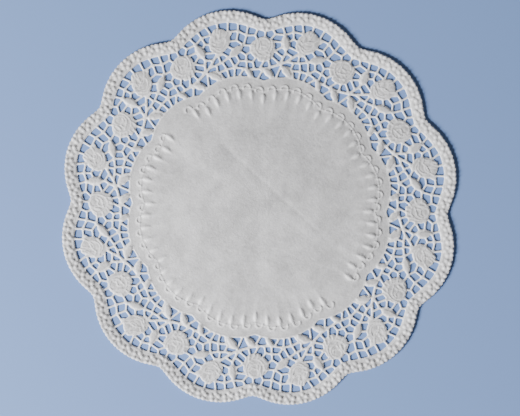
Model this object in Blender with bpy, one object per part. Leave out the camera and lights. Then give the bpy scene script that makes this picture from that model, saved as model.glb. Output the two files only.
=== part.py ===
"""A round lace doily of stiff white paper, embossed and die cut, lying flat with its relief upwards.

The sheet is one piece. Twelve equal repeats turn about its middle, and each holds a scallop of the
beaded rim, an open rose at the notch, a rosebud under the crown, five leaves and the net that joins
them to the plain field. Angles run anticlockwise in degrees from the notch of a repeat, and sizes
are in millimetres. The underside is flat, on z = 0, with the origin at the middle of the sheet.
"""

import math

import bpy
from mathutils import Vector
from mathutils.geometry import delaunay_2d_cdt

MM = 0.001

# Driving sizes
DIAMETER = 360.0  # across two opposite crowns
REPEATS = 12
REPEAT_ANGLE = 360.0 / REPEATS
FIRST_NOTCH = 28.0  # degrees from +X
SCALLOP_RADIUS = 60.0  # of each arc of the rim
RIM_WIDTH = 10.5
NOTCH_ROUNDING = 3.0
FIELD_CROWN = 120.3  # the plain field's edge, under a crown
FIELD_ARC_RADIUS = 50.0
BAR_WIDTH = 2.2  # of the net
HOLES_PER_REPEAT = 25  # the largest ones, of all the cells of the net
CORNER_WIDTH = 1.0  # sharp corners of the holes are cut off at this width

# Heights above the underside
SHEET = 1.0
RIM_CREST = 1.5
ROSE_CREST = 1.8
LEAF_CREST = 1.45
STITCH_CREST = 1.5

# Roses and leaves: the middle's angle and radius, and the radius that the outline bulges with
ROSES = {
    "A": (15.6, 154.0, 9.8),  # bud, under the crown
    "B": (0.62, 144.0, 11.0),  # open rose, at the notch
}
LEAVES = {
    "C": (22.7, 150.0, 9.0),
    "D": (10.2, 142.6, 12.0),
    "E": (20.2, 124.6, 9.0),
    "G": (28.0, 121.0, 9.0),
    "H": (6.1, 121.3, 9.0),
}

# The net's junctions: name, angle, radius, and the outlines that it lies on. R is the rim's inner
# edge, F is the field's edge, whose radius follows from the angle, and a letter from the tables
# above is that rose or leaf. The rest are crossings of bars.
JUNCTIONS = (
    ("R0", 0.0, 157.7, "R"),
    ("R1", 2.55, 159.9, "R"),
    ("R2", 5.6, 163.0, "R"),
    ("R3", 8.6, 166.4, "R"),
    ("R4", 11.6, 168.8, "R"),
    ("R5", 15.05, 169.4, "R"),
    ("R6", 18.6, 168.8, "R"),
    ("R7", 21.4, 166.3, "R"),
    ("R8", 24.45, 163.2, "R"),
    ("R9", 27.45, 159.9, "R"),
    ("F0", 0.0, None, "F"),
    ("F1", 2.5, None, "F"),
    ("H1", 4.6, None, "FH"),
    ("H4", 6.6, None, "FH"),
    ("F2", 10.55, None, "F"),
    ("F3", 12.65, None, "F"),
    ("F4", 14.95, None, "F"),
    ("E1", 16.9, None, "FE"),
    ("E5", 19.9, None, "FE"),
    ("F5", 24.6, None, "F"),
    ("G1", 25.45, None, "FG"),
    ("G4", 27.0, None, "FG"),
    ("A1", 12.2, 160.4, "A"),
    ("A1b", 12.95, 161.9, "A"),
    ("A1c", 13.6, 163.5, "A"),
    ("A2", 15.05, 164.6, "A"),
    ("A2b", 16.1, 165.3, "A"),
    ("A2c", 16.9, 163.0, "A"),
    ("A3", 17.55, 160.8, "A"),
    ("A4", 19.1, 152.9, "A"),
    ("A4b", 19.35, 148.0, "A"),
    ("A5", 18.3, 144.7, "A"),
    ("A6", 17.6, 142.2, "A"),
    ("A6b", 17.1, 140.3, "A"),
    ("A6c", 15.5, 140.7, "A"),
    ("A6d", 15.9, 143.0, "A"),
    ("A7", 12.95, 147.1, "A"),
    ("A8", 12.0, 151.6, "A"),
    ("A8b", 11.75, 155.4, "A"),
    ("A8c", 10.6, 160.1, "A"),
    ("B0", -0.05, 154.0, "B"),
    ("B1", 2.75, 151.6, "B"),
    ("B2", 5.3, 146.1, "B"),
    ("B3", 5.35, 140.1, "B"),
    ("B4", 3.5, 134.3, "B"),
    ("B4b", 3.0, 134.3, "B"),
    ("B4c", 2.65, 133.6, "B"),
    ("B4d", 2.6, 131.6, "B"),
    ("B5", 1.9, 131.4, "B"),
    ("B6", 0.3, 131.2, "B"),
    ("B7", -1.6, 132.3, "B"),
    ("B8", -3.0, 135.4, "B"),
    ("B9", -3.6, 141.3, "B"),
    ("B10", -1.9, 151.3, "B"),
    ("B10b", -3.1, 150.0, "B"),
    ("C1", 23.3, 156.8, "C"),
    ("C1b", 24.0, 155.4, "C"),
    ("C2", 21.5, 151.8, "C"),
    ("C3", 21.15, 146.4, "C"),
    ("C4", 22.35, 142.2, "C"),
    ("C5", 24.35, 149.9, "C"),
    ("C6", 24.05, 145.2, "C"),
    ("D1", 7.45, 146.5, "D"),
    ("D2", 11.65, 144.8, "D"),
    ("D3", 13.35, 137.6, "D"),
    ("D4", 10.6, 137.8, "D"),
    ("D5", 8.75, 141.1, "D"),
    ("E2", 18.4, 126.3, "E"),
    ("E2b", 19.0, 128.2, "E"),
    ("E3", 21.0, 129.3, "E"),
    ("E4", 23.2, 128.8, "E"),
    ("G1b", 26.3, 122.0, "G"),
    ("G2", 28.2, 126.0, "G"),
    ("G3", 30.6, 123.4, "G"),
    ("H2", 5.55, 124.4, "H"),
    ("H3", 8.1, 126.0, "H"),
    ("J1", 3.35, 154.9, ""),
    ("J2", 6.2, 155.2, ""),
    ("J4", 8.8, 159.8, ""),
    ("J5", 9.7, 151.5, ""),
    ("J8", 20.85, 160.8, ""),
    ("J9", 20.4, 154.5, ""),
    ("J11", 26.6, 156.6, ""),
    ("J12", 4.5, 130.9, ""),
    ("J13", 6.95, 132.4, ""),
    ("J14", 6.9, 137.6, ""),
    ("J15", 9.7, 132.9, ""),
    ("K1", 16.3, 134.5, ""),
    ("K1b", 16.85, 134.35, ""),
    ("K2", 18.6, 133.5, ""),
    ("K4", 21.5, 133.1, ""),
    ("K5", 19.25, 138.2, ""),
    ("K6", 22.9, 136.3, ""),
    ("K7", 22.15, 140.8, ""),
    ("HUB", 23.7, 130.2, ""),
    ("S1", 27.5, 126.2, ""),
    ("S2", 1.9, 124.6, ""),
    ("S3", 4.0, 124.5, ""),
    ("S4", 7.05, 124.9, ""),
    ("S5", 11.85, 127.8, ""),
    ("S6", 15.15, 127.6, ""),
)

# The stems: their width, and the junctions along them. A side of a cell between two of one stem's
# junctions is stem, and the rest are bars.
STEMS = (
    (3.0, "HUB S1 G2"),
    (2.5, "S1 G2 G3 S2+ S3+ H2+"),
    (2.4, "S2 S3 H2 S4 H3 S5 S6 E2"),
    (2.4, "D3 K1 K1b K2 K4 HUB"),
    (2.7, "C4 K7 K6 HUB"),
    (2.7, "A6 K5 K4 HUB"),
)

# The cells between the bars, row by row from the rim inwards. A + means the next repeat's junction.
CELLS = (
    "R0 R1 J1 B1 B0",
    "R1 R2 J2 J1",
    "R2 R3 J4 J2",
    "R3 R4 A1 J4",
    "R4 R5 A2 A1c A1b A1",
    "R5 R6 A3 A2c A2b A2",
    "R6 R7 J8 A3",
    "R7 R8 C1 J8",
    "R8 R9 J11 C1",
    "R9 R0+ B0+ B10+ J11",
    "J1 J2 D1 B2 B1",
    "J2 J4 J5 D1",
    "J4 A8c A8b A8 J5",
    "J5 A8 A7 D2 D1",
    "A3 J8 J9 A4",
    "J8 C1 C2 J9",
    "A4 J9 C2 C3 A5 A4b",
    "C1b C1 J11 B10+ B10b+ C5",
    "C5 B10b+ B9+ C6",
    "B2 D1 D5 J14 B3",
    "A7 A6d D3 D2",
    "A5 C3 C4 K7 K5 A6",
    "C6 B9+ K6 K7 C4",
    "B4 B3 J14 J13 J12",
    "J14 D5 D4 J15 J13",
    "D4 D3 S5 J15",
    "D3 A6d A6c A6b K1b K1",
    "A6 K5 K4 K2 K1b A6b",
    "K5 K7 K6 HUB K4",
    "K6 B9+ B8+ HUB",
    "HUB B8+ B7+ S1",
    "S1 B7+ B6+ S2+",
    "S2 B6 B5 B4d B4c B4b B4 J12 S3",
    "S3 J12 J13 S4",
    "J13 J15 S5 S4",
    "D3 K1 S6 S5",
    "K1 K1b K2 E2b E2 S6",
    "K2 K4 HUB E4 E3 E2b",
    "F1+ G3 S2+ S3+ H2+ H1+",
    "G4 G3 F1+ F0+",
    "H4 H3 F2",
    "H3 S5 F3 F2",
    "S5 S6 F4 F3",
    "S6 E2 E1 F4",
    "E4 F5 E5",
    "HUB G2 G1b G1 F5 E4",
)

# The stitches embossed round the field, five in each repeat: their length and width, and how far
# their outer end lies inside the field's edge. Two by two, four of the sixty are left out.
STITCHES = 60
STITCH_LENGTH = 10.0
STITCH_WIDTH = 3.0
STITCH_INSET = 11.0
PLAIN_STITCHES = (17, 18, 47, 48)

RIM_STEP = 2.5  # degrees between the points of the rim's outline
ROSE_CORNERS = 6


def at(angle, radius):
    """The point at an angle from the first notch and a distance from the middle, in millimetres."""
    turned = math.radians(FIRST_NOTCH + angle)
    return Vector((radius * math.cos(turned), radius * math.sin(turned)))


def arc_reach(off_crown, middle, radius):
    """How far out an arc of that radius reaches, seen at an angle from its crown."""
    turned = math.radians(off_crown)
    across = middle * math.sin(turned)
    return middle * math.cos(turned) + math.sqrt(max(0.0, radius**2 - across**2))


def scalloped(angle, crown, radius, rounding):
    """The edge of a ring of arcs whose crowns are that far out, with its notches rounded."""
    off = angle % REPEAT_ANGLE - REPEAT_ANGLE / 2
    near = arc_reach(off, crown - radius, radius)
    if not rounding:
        return near
    far = arc_reach(REPEAT_ANGLE - abs(off), crown - radius, radius)
    return near + rounding * math.log1p(math.exp((far - near) / rounding))


def rim_edge(angle, inside=0.0):
    """The rim's outer edge, or the line that far inside it."""
    return scalloped(angle, DIAMETER / 2 - inside, SCALLOP_RADIUS - inside, NOTCH_ROUNDING)


def field_edge(angle):
    """The plain field's edge."""
    return scalloped(angle, FIELD_CROWN, FIELD_ARC_RADIUS, 0.0)


def junction_table():
    """Each junction's angle, radius and outlines by name, and the next repeat's with a + behind."""
    table = {}
    for name, angle, radius, outlines in JUNCTIONS:
        if radius is None:
            radius = field_edge(angle)
        table[name] = (angle, radius, outlines)
        table[name + "+"] = (angle + REPEAT_ANGLE, radius, outlines)
    return table


def stem_widths():
    """The stem's width for every pair of junctions that it joins."""
    runs = [(width, names.split()) for width, names in STEMS]
    return {frozenset((p, q)): width for width, run in runs for p in run for q in run if p != q}


def bowed(start, end, radius):
    """The middle point of an arc of that radius from start to end that bulges to the left."""
    half = (end - start) / 2
    sagitta = radius - math.sqrt(max(0.0, radius**2 - half.length_squared))
    return start + half + Vector((-half.y, half.x)).normalized() * sagitta


def area(points):
    """The area inside an outline, negative where it runs clockwise."""
    return sum(p.cross(q) for p, q in zip(points, points[1:] + points[:1])) / 2


def meeting(before, after):
    """Where two sides meet once each has moved inwards by its own distance."""
    (p, u, inset_p), (q, v, inset_q) = before, after
    p = p + Vector((-u.y, u.x)) * inset_p
    moved_q = q + Vector((-v.y, v.x)) * inset_q
    turn = u.cross(v)
    if abs(turn) < 0.05:
        return (moved_q + q + Vector((-u.y, u.x)) * inset_p) / 2
    return p + u * ((moved_q - p).cross(v) / turn)


def inset_outline(corners, insets):
    """An anticlockwise outline with each side moved inwards. A side that closes up is dropped."""
    sides = [
        (p, (q - p).normalized(), inset)
        for p, q, inset in zip(corners, corners[1:] + corners[:1], insets)
    ]
    while True:
        found = [meeting(sides[i - 1], side) for i, side in enumerate(sides)]
        runs = [
            (end - start).dot(side[1])
            for start, end, side in zip(found, found[1:] + found[:1], sides)
        ]
        shortest = min(range(len(runs)), key=runs.__getitem__)
        if runs[shortest] > 0:
            return found
        del sides[shortest]


def blunted(outline):
    """An outline with each sharp corner cut off where it is as wide as the punch's corner."""
    result = []
    for i, corner in enumerate(outline):
        back, ahead = outline[i - 1] - corner, outline[(i + 1) % len(outline)] - corner
        opening = back.angle(ahead)
        reach = CORNER_WIDTH / 2 / math.sin(opening / 2)
        sharp = back.cross(ahead) < 0 and opening < math.radians(55)
        if not sharp or reach > 0.45 * min(back.length, ahead.length):
            result.append(corner)
            continue
        result += [corner + back.normalized() * reach, corner + ahead.normalized() * reach]
    return result


def hole(cell, table, stems):
    """The hole that is punched in one cell: what its bars, stems and outlines leave."""
    names = cell.split()
    if area([at(*table[name][:2]) for name in names]) < 0:
        names.reverse()
    rounded = ROSES | LEAVES
    corners, insets = [], []
    for name, following in zip(names, names[1:] + names[:1]):
        start, end = at(*table[name][:2]), at(*table[following][:2])
        shared = set(table[name][2]) & set(table[following][2])
        corners.append(start)
        if not shared:
            insets.append(stems.get(frozenset((name, following)), BAR_WIDTH) / 2)
            continue
        outline = shared.pop()
        insets.append(0.0)
        if outline in rounded:
            corners.append(bowed(start, end, rounded[outline][2]))
            insets.append(0.0)
    return blunted(inset_outline(corners, insets))


def turned(points, steps):
    """Points turned on by a number of repeats."""
    angle = math.radians(steps * REPEAT_ANGLE)
    c, s = math.cos(angle), math.sin(angle)
    return [Vector((c * p.x - s * p.y, s * p.x + c * p.y)) for p in points]


def rose_relief(rose):
    """The raised points of a rose: a ring of petals and a heart."""
    angle, radius, size = ROSES[rose]
    middle = at(angle, radius)
    ring = [
        middle + Vector((math.cos(k), math.sin(k))) * size * 0.55
        for k in (2 * math.pi * i / ROSE_CORNERS for i in range(ROSE_CORNERS))
    ]
    return [(p, ROSE_CREST) for p in ring] + [(middle, ROSE_CREST)]


def stitch_relief(number):
    """A stitch's outline on the sheet, and the two ends of its crest."""
    angle = number * 360.0 / STITCHES
    outer = field_edge(angle) - STITCH_INSET
    half_turn = math.degrees(STITCH_WIDTH / 2 / outer)
    middle = outer - STITCH_LENGTH / 2
    foot = [
        at(angle, outer),
        at(angle + half_turn, middle),
        at(angle, outer - STITCH_LENGTH),
        at(angle - half_turn, middle),
    ]
    crest = [at(angle, middle + reach) for reach in (STITCH_LENGTH / 5, -STITCH_LENGTH / 5)]
    return [(p, SHEET) for p in foot] + [(p, STITCH_CREST) for p in crest]


def relief_of_repeat():
    """The raised points of one repeat's roses and leaves."""
    points = [row for rose in ROSES for row in rose_relief(rose)]
    for angle, radius, _curve in LEAVES.values():
        points.append((at(angle, radius), LEAF_CREST))
    return points


def ring(edge):
    """Points all the way round a scalloped line."""
    count = round(360.0 / RIM_STEP)
    return [at(k * RIM_STEP, edge(k * RIM_STEP)) for k in range(count)]


def triangulated(loops, extras):
    """Triangles that fill the first loop, less the others, through the extra points.

    It gives the triangles' corners, the number there of each loop point and extra point, and the
    triangles."""
    points, outlines = [], []
    for loop in loops:
        outlines.append(list(range(len(points), len(points) + len(loop))))
        points += loop
    places, _edges, faces, origins, _from_edges, inside = delaunay_2d_cdt(
        points + extras, [], outlines, 1, 1e-6
    )
    numbers = {old: new for new, olds in enumerate(origins) for old in olds}
    kept = [face for face, within in zip(faces, inside) if within == [0]]
    return places, [numbers[i] for i in range(len(points) + len(extras))], kept


def sheet_mesh(loops, crest_line, relief):
    """The sheet as one closed mesh: a flat underside, walls round each loop and a raised top."""
    outline = [p for loop in loops for p in loop]
    bottom_places, bottom_numbers, bottom = triangulated(loops, [])
    raised = [(p, RIM_CREST) for p in crest_line] + relief
    top_places, top_numbers, top = triangulated(loops, [p for p, _height in raised])
    heights = dict.fromkeys(range(len(top_places)), SHEET)
    for number, (_point, height) in zip(top_numbers[len(outline) :], raised):
        heights[number] = height
    vertices = [(p.x * MM, p.y * MM, 0.0) for p in bottom_places]
    lift = len(vertices)
    vertices += [(p.x * MM, p.y * MM, heights[i] * MM) for i, p in enumerate(top_places)]
    faces = [tuple(reversed(face)) for face in bottom]
    faces += [tuple(lift + i for i in face) for face in top]
    start = 0
    for loop in loops:
        ahead = 1 if loop is loops[0] else -1
        for k in range(len(loop)):
            here, after = start + k, start + (k + ahead) % len(loop)
            low, low_after = bottom_numbers[here], bottom_numbers[after]
            high, high_after = lift + top_numbers[here], lift + top_numbers[after]
            faces.append((low, low_after, high_after, high))
        start += len(loop)
    mesh = bpy.data.meshes.new("doily")
    mesh.from_pydata(vertices, [], faces)
    mesh.validate()
    return mesh


def holes_of_sheet():
    """The outlines of all the holes."""
    table, stems = junction_table(), stem_widths()
    cells = sorted((hole(cell, table, stems) for cell in CELLS), key=area, reverse=True)
    punched = cells[:HOLES_PER_REPEAT]
    return [turned(outline, k) for k in range(REPEATS) for outline in punched]


def paper():
    """Bleached paper: white with a faint cool grey, and matt."""
    material = bpy.data.materials.new("paper")
    material.use_nodes = True
    shader = material.node_tree.nodes["Principled BSDF"]
    shader.inputs["Base Color"].default_value = (0.80, 0.80, 0.79, 1.0)
    shader.inputs["Roughness"].default_value = 0.85
    shader.inputs["Metallic"].default_value = 0.0
    return material


def main():
    for old in list(bpy.data.objects):
        bpy.data.objects.remove(old, do_unlink=True)
    repeat = relief_of_repeat()
    relief = [
        (point, height)
        for k in range(REPEATS)
        for point, (_old, height) in zip(turned([p for p, _h in repeat], k), repeat)
    ]
    for number in range(STITCHES):
        if number not in PLAIN_STITCHES:
            relief += stitch_relief(number)
    crest_line = ring(lambda angle: rim_edge(angle, RIM_WIDTH / 2))
    mesh = sheet_mesh([ring(rim_edge)] + holes_of_sheet(), crest_line, relief)
    mesh.materials.append(paper())
    doily = bpy.data.objects.new("doily", mesh)
    bpy.context.scene.collection.objects.link(doily)


main()
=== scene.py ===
"""A round lace doily of stiff white paper, die cut and embossed, seen from straight above.

The paper is one thin sheet whose embossing stands up on top and is hollow underneath. Twelve equal
repeats turn about its middle. Angles run anticlockwise in degrees from the notch of a repeat, and
sizes are in millimetres, which the mesh turns to metres.
"""

import math

import bpy
import numpy as np
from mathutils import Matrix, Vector, noise
from mathutils.geometry import delaunay_2d_cdt
from mathutils.kdtree import KDTree


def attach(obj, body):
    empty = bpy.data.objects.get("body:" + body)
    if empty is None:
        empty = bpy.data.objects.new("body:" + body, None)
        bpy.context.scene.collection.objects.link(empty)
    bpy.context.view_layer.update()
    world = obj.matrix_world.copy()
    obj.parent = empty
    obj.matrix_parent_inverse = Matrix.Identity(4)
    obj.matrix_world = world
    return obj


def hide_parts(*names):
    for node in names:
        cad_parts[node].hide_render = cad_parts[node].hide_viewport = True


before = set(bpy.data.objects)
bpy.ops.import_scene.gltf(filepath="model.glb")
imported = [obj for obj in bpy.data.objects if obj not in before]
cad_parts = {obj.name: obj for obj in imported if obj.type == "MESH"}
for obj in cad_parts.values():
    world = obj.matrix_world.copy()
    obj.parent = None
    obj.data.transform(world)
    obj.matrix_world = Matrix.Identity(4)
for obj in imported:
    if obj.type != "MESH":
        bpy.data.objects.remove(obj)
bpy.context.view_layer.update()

MM = 0.001

# The studio, in metres, with the lens and its sensor in millimetres
FLOOR_SIZE = 6.0
FLOOR_DROP = 0.0002  # below the solids' underside
LIGHTS = (  # name, place, side, watts and tint
    ("key", (-1.91, -1.24, 1.26), 0.9, 197.0, "FCFCFF"),
    ("top", (0.2, 0.1, 3.0), 2.4, 3.0, "F6F8FF"),
)
TABLE_BLUE = "7E9CD0"
ROOM_TINT = "F6F7FA"
ROOM_STRENGTH = 0.12
LENS = 85.0
SENSOR = 36.0
VIEW_WIDTH = 0.4675  # of the table, across the picture
VIEW_MIDDLE = (0.00055, -0.00049)

# The sheet
DIAMETER = 360.0  # across two opposite crowns
REPEATS = 12
REPEAT_ANGLE = 360.0 / REPEATS
FIRST_NOTCH = 28.0  # degrees from +X
SCALLOP_RADIUS = 60.0
SCALLOP_MIDDLE = DIAMETER / 2 - SCALLOP_RADIUS
RIM_WIDTH = 10.5
NOTCH_ROUNDING = 3.0
FIELD_CROWN = 120.3
FIELD_ARC_RADIUS = 50.0
BAR_WIDTH = 1.8
CORNER_RADIUS = 0.9  # of the punched holes
CORNER_SHARE = 0.45  # of a side's length, at most, that a rounded corner takes
CORNER_STEPS = (0.0, 0.33, 0.67, 1.0)  # from one end of a rounded corner to the other
NEARLY_STRAIGHT = 0.05  # the sine of a bend that is too slight for two sides to cross
PAPER = 0.2  # its thickness

# Roses and leaves: the middle's angle and radius, and the radius that the outline bulges with
ROSES = {
    "A": (15.6, 154.0, 9.8),  # bud, under the crown
    "B": (0.62, 144.0, 11.0),  # open rose, at the notch
}
LEAVES = {
    "C": (22.7, 150.0, 9.0),
    "D": (10.2, 142.6, 12.0),
    "E": (20.2, 124.6, 9.0),
    "G": (28.0, 121.0, 9.0),
    "H": (6.1, 121.3, 9.0),
}

# The leaves' bodies: the leaf, the angle and radius of its tip and then of its foot, and its width
LEAF_BODIES = (
    ("C", 23.3, 157.0, 22.05, 144.0, 5.4),
    ("D", 7.6, 146.6, 13.0, 138.2, 5.4),
    ("E", 18.6, 120.6, 23.0, 128.4, 5.4),
    ("G", 26.3, 117.6, 30.0, 124.6, 4.6),
    ("H", 5.5, 118.6, 7.6, 125.0, 4.6),
)

# The net's junctions: name, angle, radius, and the outlines that it lies on. R is the rim's inner
# edge, F is the field's edge, whose radius follows from the angle, and a letter from the tables
# above is that rose or leaf. The rest are crossings of bars.
JUNCTIONS = (
    ("R0", 0.0, 157.7, "R"),
    ("R1", 2.55, 159.9, "R"),
    ("R2", 5.6, 163.0, "R"),
    ("R3", 8.6, 166.4, "R"),
    ("R4", 11.6, 168.8, "R"),
    ("R5", 15.05, 169.4, "R"),
    ("R6", 18.6, 168.8, "R"),
    ("R7", 21.4, 166.3, "R"),
    ("R8", 24.45, 163.2, "R"),
    ("R9", 27.45, 159.9, "R"),
    ("F0", 0.0, None, "F"),
    ("F1", 2.5, None, "F"),
    ("H1", 4.6, None, "FH"),
    ("H4", 6.6, None, "FH"),
    ("F2", 10.55, None, "F"),
    ("F3", 12.65, None, "F"),
    ("F4", 14.95, None, "F"),
    ("E1", 16.9, None, "FE"),
    ("E5", 19.9, None, "FE"),
    ("F5", 24.6, None, "F"),
    ("G1", 25.45, None, "FG"),
    ("G4", 27.0, None, "FG"),
    ("A1", 12.2, 160.4, "A"),
    ("A1b", 12.95, 161.9, "A"),
    ("A1c", 13.6, 163.5, "A"),
    ("A2", 15.05, 164.6, "A"),
    ("A2b", 16.1, 165.3, "A"),
    ("A2c", 16.9, 163.0, "A"),
    ("A3", 17.55, 160.8, "A"),
    ("A4", 19.1, 152.9, "A"),
    ("A4b", 19.35, 148.0, "A"),
    ("A5", 18.3, 144.7, "A"),
    ("A6", 17.6, 142.2, "A"),
    ("A6b", 17.1, 140.3, "A"),
    ("A6c", 15.5, 140.7, "A"),
    ("A6d", 15.9, 143.0, "A"),
    ("A7", 12.95, 147.1, "A"),
    ("A8", 12.0, 151.6, "A"),
    ("A8b", 11.75, 155.4, "A"),
    ("A8c", 10.6, 160.1, "A"),
    ("B0", -0.05, 154.0, "B"),
    ("B1", 2.75, 151.6, "B"),
    ("B2", 5.3, 146.1, "B"),
    ("B3", 5.35, 140.1, "B"),
    ("B4", 3.5, 134.3, "B"),
    ("B4b", 3.0, 134.3, "B"),
    ("B4c", 2.65, 133.6, "B"),
    ("B4d", 2.6, 131.6, "B"),
    ("B5", 1.9, 131.4, "B"),
    ("B6", 0.3, 131.2, "B"),
    ("B7", -1.6, 132.3, "B"),
    ("B8", -3.0, 135.4, "B"),
    ("B9", -3.6, 141.3, "B"),
    ("B10", -1.9, 151.3, "B"),
    ("B10b", -3.1, 150.0, "B"),
    ("C1", 23.3, 156.8, "C"),
    ("C1b", 24.0, 155.4, "C"),
    ("C2", 21.5, 151.8, "C"),
    ("C3", 21.15, 146.4, "C"),
    ("C4", 22.35, 142.2, "C"),
    ("C5", 24.35, 149.9, "C"),
    ("C6", 24.05, 145.2, "C"),
    ("D1", 7.45, 146.5, "D"),
    ("D2", 11.65, 144.8, "D"),
    ("D3", 13.35, 137.6, "D"),
    ("D4", 10.6, 137.8, "D"),
    ("D5", 8.75, 141.1, "D"),
    ("E2", 18.4, 126.3, "E"),
    ("E2b", 19.0, 128.2, "E"),
    ("E3", 21.0, 129.3, "E"),
    ("E4", 23.2, 128.8, "E"),
    ("G1b", 26.3, 122.0, "G"),
    ("G2", 28.2, 126.0, "G"),
    ("G3", 30.6, 123.4, "G"),
    ("H2", 5.55, 124.4, "H"),
    ("H3", 8.1, 126.0, "H"),
    ("J1", 3.35, 154.9, ""),
    ("J2", 6.2, 155.2, ""),
    ("J4", 8.8, 159.8, ""),
    ("J5", 9.7, 151.5, ""),
    ("J8", 20.85, 160.8, ""),
    ("J9", 20.4, 154.5, ""),
    ("J11", 26.6, 156.6, ""),
    ("J12", 4.5, 130.9, ""),
    ("J13", 6.95, 132.4, ""),
    ("J14", 6.9, 137.6, ""),
    ("J15", 9.7, 132.9, ""),
    ("K1", 16.3, 134.5, ""),
    ("K1b", 16.85, 134.35, ""),
    ("K2", 18.6, 133.5, ""),
    ("K4", 21.5, 133.1, ""),
    ("K5", 19.25, 138.2, ""),
    ("K6", 22.9, 136.3, ""),
    ("K7", 22.15, 140.8, ""),
    ("HUB", 23.7, 130.2, ""),
    ("S1", 27.5, 126.2, ""),
    ("S2", 1.9, 124.6, ""),
    ("S3", 4.0, 124.5, ""),
    ("S4", 7.05, 124.9, ""),
    ("S5", 11.85, 127.8, ""),
    ("S6", 15.15, 127.6, ""),
)

# The stems: their width, and the junctions along them. A side of a cell between two of one stem's
# junctions is stem, and the rest are bars.
STEMS = (
    (2.6, "HUB S1 G2"),
    (2.1, "S1 G2 G3 S2+ S3+ H2+"),
    (2.0, "S2 S3 H2 S4 H3 S5 S6 E2"),
    (2.0, "D3 K1 K1b K2 K4 HUB"),
    (2.3, "C4 K7 K6 HUB"),
    (2.3, "A6 K5 K4 HUB"),
)

# The cells between the bars, row by row from the rim inwards. A + means the next repeat's junction.
CELLS = (
    "R0 R1 J1 B1 B0",
    "R1 R2 J2 J1",
    "R2 R3 J4 J2",
    "R3 R4 A1 J4",
    "R4 R5 A2 A1c A1b A1",
    "R5 R6 A3 A2c A2b A2",
    "R6 R7 J8 A3",
    "R7 R8 C1 J8",
    "R8 R9 J11 C1",
    "R9 R0+ B0+ B10+ J11",
    "J1 J2 D1 B2 B1",
    "J2 J4 J5 D1",
    "J4 A8c A8b A8 J5",
    "J5 A8 A7 D2 D1",
    "A3 J8 J9 A4",
    "J8 C1 C2 J9",
    "A4 J9 C2 C3 A5 A4b",
    "C1b C1 J11 B10+ B10b+ C5",
    "C5 B10b+ B9+ C6",
    "B2 D1 D5 J14 B3",
    "A7 A6d D3 D2",
    "A5 C3 C4 K7 K5 A6",
    "C6 B9+ K6 K7 C4",
    "B4 B3 J14 J13 J12",
    "J14 D5 D4 J15 J13",
    "D4 D3 S5 J15",
    "D3 A6d A6c A6b K1b K1",
    "A6 K5 K4 K2 K1b A6b",
    "K5 K7 K6 HUB K4",
    "K6 B9+ B8+ HUB",
    "HUB B8+ B7+ S1",
    "S1 B7+ B6+ S2+",
    "S2 B6 B5 B4d B4c B4b B4 J12 S3",
    "S3 J12 J13 S4",
    "J13 J15 S5 S4",
    "D3 K1 S6 S5",
    "K1 K1b K2 E2b E2 S6",
    "K2 K4 HUB E4 E3 E2b",
    "F1+ G3 S2+ S3+ H2+ H1+",
    "G4 G3 F1+ F0+",
    "H4 H3 F2",
    "H3 S5 F3 F2",
    "S5 S6 F4 F3",
    "S6 E2 E1 F4",
    "E4 F5 E5",
    "HUB G2 G1b G1 F5 E4",
)

# The petals' raised backs: rose, petal, the middle across (anticlockwise) and outwards from the
# rose's middle, half the length, half the width, and how far its length is turned from across
BACKS = (
    ("A", "heart", -5.0, 5.4, 3.0, 2.6, 50.0),
    ("A", "cup", -0.7, -3.8, 3.6, 2.4, -10.0),
    ("A", "left", 3.0, 2.6, 3.6, 1.6, 65.0),
    ("A", "small", -1.0, 0.6, 2.2, 1.0, -10.0),
    ("A", "left shoulder", 7.6, -2.0, 3.4, 1.8, 75.0),
    ("A", "right shoulder", -7.2, -1.2, 4.2, 1.7, 105.0),
    ("B", "head", -2.2, 5.4, 3.8, 2.4, -25.0),
    ("B", "left", 5.0, 0.8, 4.4, 1.8, 105.0),
    ("B", "low", -3.4, -5.6, 4.4, 1.5, 30.0),
    ("B", "right", -3.6, -2.6, 3.8, 1.2, 30.0),
    ("B", "small", -3.2, -0.4, 3.0, 1.0, 25.0),
    ("B", "sepal 1", 7.2, -7.2, 2.6, 1.6, 60.0),
    ("B", "sepal 2", 3.0, -10.0, 2.2, 1.5, 100.0),
    ("B", "sepal 3", -0.6, -10.6, 2.4, 1.6, 80.0),
    ("B", "sepal 4", -5.2, -9.6, 2.4, 1.4, 70.0),
    ("B", "sepal 5", 9.6, 0.6, 2.6, 1.6, 90.0),
    ("B", "sepal 6", -10.4, 0.2, 2.6, 1.5, 90.0),
)

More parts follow.
